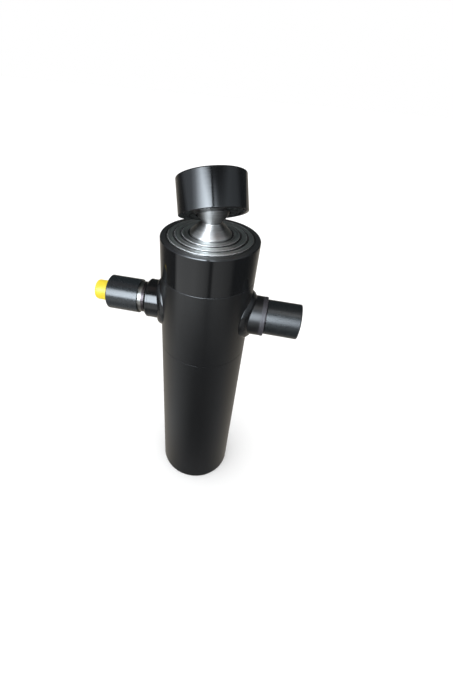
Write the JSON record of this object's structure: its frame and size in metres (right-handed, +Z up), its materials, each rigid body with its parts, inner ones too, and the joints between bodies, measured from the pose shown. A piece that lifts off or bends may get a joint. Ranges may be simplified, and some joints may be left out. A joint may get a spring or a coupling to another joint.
{
  "type": "telescopic hydraulic cylinder",
  "caption": "Telescopic hydraulic cylinder: nested stages slide out of a trunnion-mounted barrel, with a swivelling ball cap on the plunger's end and a capped oil port.",
  "frame": {"origin": "centre of the barrel's bottom face", "axes": "+Z up the barrel towards the ball cap; X along the trunnions with the oil port at -X; -Y towards the viewer"},
  "size_m": [0.2968, 0.126, 0.5548],
  "materials": {
    "black_paint": "gloss black enamel over machined steel",
    "turned_steel": "bright turned steel with fine tool lines",
    "machined_steel": "oiled machined steel",
    "bronze": "turned bearing bronze",
    "black_rubber": "satin rubber",
    "seal_plastic": "oiled polyurethane",
    "black_plastic": "extruded black plastic",
    "yellow_plastic": "soft moulded plastic"
  },
  "bodies": {
    "barrel": {"barrel_tube": "black_paint", "trunnion_section": "black_paint", "left_collar": "black_paint", "right_collar": "black_paint", "head_collar": "black_paint", "base_plug": "black_paint", "barrel_wiper": "black_rubber", "barrel_rod_seal": "seal_plastic", "barrel_guide_bush": "bronze", "left_trunnion": "machined_steel", "right_trunnion": "machined_steel", "port_nipple": "machined_steel"},
    "stage_1": {"stage_1_tube": "turned_steel", "stage_1_wiper": "black_rubber", "stage_1_rod_seal": "seal_plastic", "stage_1_guide_bush": "bronze", "stage_1_guide_ring": "bronze", "stage_1_stop_ring": "machined_steel"},
    "stage_2": {"stage_2_tube": "turned_steel", "stage_2_wiper": "black_rubber", "stage_2_rod_seal": "seal_plastic", "stage_2_guide_bush": "bronze", "stage_2_guide_ring": "bronze", "stage_2_stop_ring": "machined_steel"},
    "stage_3": {"stage_3_tube": "turned_steel", "stage_3_wiper": "black_rubber", "stage_3_rod_seal": "seal_plastic", "stage_3_guide_bush": "bronze", "stage_3_guide_ring": "bronze", "stage_3_stop_ring": "machined_steel"},
    "plunger": {"plunger_tube": "turned_steel", "ball_end": "turned_steel", "plunger_guide_ring": "bronze", "plunger_stop_ring": "machined_steel"},
    "socket": {"socket_liner": "bronze"},
    "retainer": {"retaining_ring": "black_paint"},
    "cap": {"ball_cap": "black_paint"},
    "left_sleeve": {"left_sleeve": "black_plastic"},
    "right_sleeve": {"right_sleeve": "black_plastic"},
    "port_cap": {"port_cap": "yellow_plastic"}
  },
  "joints": [
    {"name": "stage_1_slide", "type": "slide", "parent": "barrel", "child": "stage_1", "axis": [0, 0, 1], "range_m": [0, 0.35]},
    {"name": "stage_2_slide", "type": "slide", "parent": "stage_1", "child": "stage_2", "axis": [0, 0, 1], "range_m": [0, 0.35]},
    {"name": "stage_3_slide", "type": "slide", "parent": "stage_2", "child": "stage_3", "axis": [0, 0, 1], "range_m": [0, 0.35]},
    {"name": "plunger_slide", "type": "slide", "parent": "stage_3", "child": "plunger", "axis": [0, 0, 1], "range_m": [0, 0.35]},
    {"name": "cap_swivel", "type": "hinge", "parent": "plunger", "child": "socket", "pos_m": [0, 0, 0.5064], "axis": [0, 0, 1], "continuous": true},
    {"name": "cap_tilt", "type": "hinge", "parent": "socket", "child": "retainer", "pos_m": [0, 0, 0.5064], "axis": [0.9107, 0.4131, 0], "range_deg": [0, 61]},
    {"name": "cap_spin", "type": "hinge", "parent": "retainer", "child": "cap", "pos_m": [0, 0, 0.5064], "axis": [-0.2097, 0.4622, 0.8616], "continuous": true},
    {"name": "left_sleeve_slide", "type": "slide", "parent": "barrel", "child": "left_sleeve", "axis": [-1, 0, 0], "range_m": [-0.009, 0.06]},
    {"name": "right_sleeve_slide", "type": "slide", "parent": "barrel", "child": "right_sleeve", "axis": [1, 0, 0], "range_m": [0, 0.06]},
    {"name": "port_cap_slide", "type": "slide", "parent": "barrel", "child": "port_cap", "axis": [-1, 0, 0], "range_m": [0, 0.04]}
  ]
}
